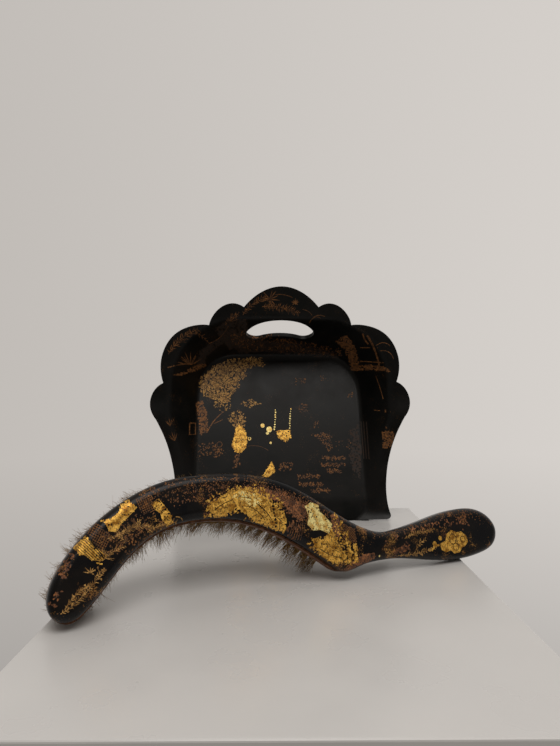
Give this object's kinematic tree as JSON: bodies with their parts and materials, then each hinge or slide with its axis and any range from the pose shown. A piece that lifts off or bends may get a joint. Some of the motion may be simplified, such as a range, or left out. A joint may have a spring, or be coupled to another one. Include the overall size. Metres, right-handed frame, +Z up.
{
  "type": "crumb pan and brush set",
  "caption": "Table crumb set: a scalloped tray-shaped pan with a hand-hole, leaning back on its lip, and a crescent brush with an integral paddle handle.",
  "frame": {"origin": "bottom centre of the box round both pieces, on the table they stand on", "axes": "+X to the right along the pan's lip, +Y backwards, the way the pan leans, +Z up"},
  "size_m": [0.3088, 0.2872, 0.2214],
  "materials": {
    "japanned_papier_mache": "black lacquer with gilt decoration",
    "japanned_wood": "black lacquer with gilt decoration",
    "board_wood": "oiled",
    "bristle": "natural fibre",
    "draw_wire": "drawn wire",
    "pin_brass": "dull"
  },
  "bodies": {
    "pan": {"pan_body": "japanned_papier_mache"},
    "brush": {"brush_back": "japanned_wood", "bristle_board": "board_wood", "board_pins": "pin_brass", "tuft_row_1": "bristle", "tuft_row_2": "bristle", "tuft_row_3": "bristle", "tuft_row_4": "bristle", "tuft_row_5": "bristle", "draw_wire_1": "draw_wire", "draw_wire_2": "draw_wire", "draw_wire_3": "draw_wire", "draw_wire_4": "draw_wire", "draw_wire_5": "draw_wire"}
  },
  "joints": [
    {"name": "brush_lift", "type": "slide", "parent": "pan", "child": "brush", "axis": [0, 0, 1], "range_m": [0, 0.25]}
  ]
}
